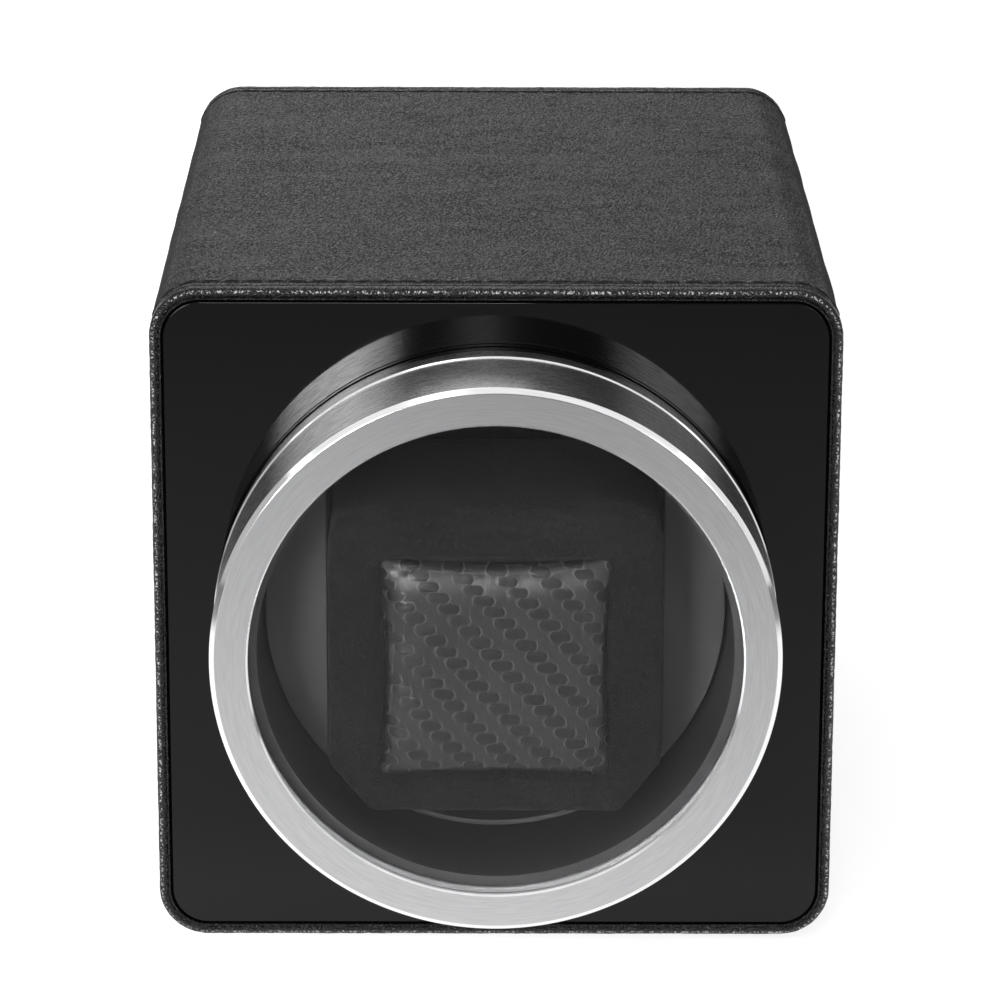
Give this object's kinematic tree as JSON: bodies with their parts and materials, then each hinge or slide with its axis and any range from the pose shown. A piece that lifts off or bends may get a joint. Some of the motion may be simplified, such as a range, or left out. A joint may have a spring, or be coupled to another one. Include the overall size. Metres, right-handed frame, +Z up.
{
  "type": "watch winder box",
  "caption": "Leather-covered watch winder with a magnetic round window cover, a turning drum with a removable pillow, a belt drive and rear knobs.",
  "frame": {"origin": "middle of the underside of the base pad", "axes": "+Z up, -Y out of the window, +X to the right when looking at the window"},
  "size_m": [0.116, 0.1905, 0.117],
  "materials": {
    "case_board": "raw fibre board",
    "black_leather": "fine-grained satin",
    "felt": "felt",
    "gloss_black": "polished",
    "satin_black": "fine moulded texture",
    "brushed_aluminium": "brushed and anodised",
    "bright_aluminium": "turned bright",
    "clear_glass": "polished",
    "seal_rubber": "matte",
    "sleeve_black": "satin",
    "cheek_grey": "satin",
    "black_velvet": "short-pile velvet",
    "carbon_look": "embossed twill, satin",
    "zinc_steel": "zinc plated",
    "black_steel": "black oxide",
    "ground_steel": "ground",
    "magnet_nickel": "nickel plated",
    "drive_plastic": "moulded acetal",
    "plate_aluminium": "sheet, as rolled",
    "bronze": "sintered bronze",
    "motor_steel": "zinc plated can",
    "lead_insulation": "smooth",
    "circuit_board": "solder resist",
    "nickel": "nickel plated",
    "brass_standoff": "turned",
    "switch_black": "moulded",
    "knob_black": "satin moulded",
    "pointer_white": "painted line"
  },
  "bodies": {
    "case": {"base_pad": "felt", "base_ring": "brushed_aluminium", "base_ring_screws": "zinc_steel", "bearing_housing": "plate_aluminium", "bearing_screws": "zinc_steel", "board_screws": "zinc_steel", "board_standoffs": "brass_standoff", "case_shell": "case_board", "chassis_posts": "zinc_steel", "control_board": "circuit_board", "corner_blocks": "case_board", "dc_jack": "switch_black", "direction_switch": "switch_black", "drive_belt": "seal_rubber", "drive_plate": "plate_aluminium", "drum_sleeve": "sleeve_black", "front_binding": "black_leather", "front_bulkhead": "case_board", "front_bush": "bronze", "front_panel": "gloss_black", "jack_nut": "nickel", "jack_pin": "nickel", "leather_wrap": "black_leather", "motor_can": "motor_steel", "motor_gearbox": "motor_steel", "motor_leads": "lead_insulation", "motor_screws": "zinc_steel", "plate_screws": "zinc_steel", "power_leads": "lead_insulation", "rear_binding": "black_leather", "rear_bush": "bronze", "rear_panel": "satin_black", "rear_screws": "black_steel", "seat_magnets": "magnet_nickel", "speed_switch": "switch_black", "switch_nuts": "nickel"},
    "rotor": {"rotor_carrier": "cheek_grey", "channel_lining": "black_velvet", "rotor_pulley": "drive_plastic", "pulley_screws": "zinc_steel", "rotor_shaft": "ground_steel", "shaft_circlip": "zinc_steel"},
    "pillow": {"pillow_body": "black_velvet", "pillow_pad": "carbon_look"},
    "cover": {"cover_ring": "brushed_aluminium", "window_glass": "clear_glass", "window_gasket": "seal_rubber", "glass_retainer": "bright_aluminium", "strike_ring": "zinc_steel"},
    "motor_drive": {"motor_shaft": "ground_steel", "drive_pulley": "drive_plastic", "pulley_grub_screw": "zinc_steel"},
    "speed_control": {"speed_knob": "knob_black", "speed_pointer": "pointer_white", "speed_spindle": "ground_steel"},
    "direction_control": {"direction_knob": "knob_black", "direction_pointer": "pointer_white", "direction_spindle": "ground_steel"}
  },
  "joints": [
    {"name": "rotor_spin", "type": "hinge", "parent": "case", "child": "rotor", "pos_m": [0, -0.05, 0.059], "axis": [0, 1, 0], "continuous": true},
    {"name": "pillow_slide", "type": "slide", "parent": "rotor", "child": "pillow", "axis": [0, -1, 0], "range_m": [0, 0.054]},
    {"name": "cover_pull", "type": "slide", "parent": "case", "child": "cover", "axis": [0, -1, 0], "range_m": [0, 0.12]},
    {"name": "motor_spin", "type": "hinge", "parent": "case", "child": "motor_drive", "pos_m": [0.027, -0.02, 0.032], "axis": [0, 1, 0], "continuous": true},
    {"name": "speed_turn", "type": "hinge", "parent": "case", "child": "speed_control", "pos_m": [-0.02, 0.08, 0.077], "axis": [0, 1, 0], "range_deg": [-60, 60]},
    {"name": "direction_turn", "type": "hinge", "parent": "case", "child": "direction_control", "pos_m": [0.02, 0.08, 0.077], "axis": [0, 1, 0], "range_deg": [-45, 45]}
  ],
  "couplings": [
    {"joint": "motor_spin", "follows": "rotor_spin", "ratio": 3.6087},
    {"joint": "pillow_slide", "follows": "cover_pull", "ratio": 0.45}
  ]
}
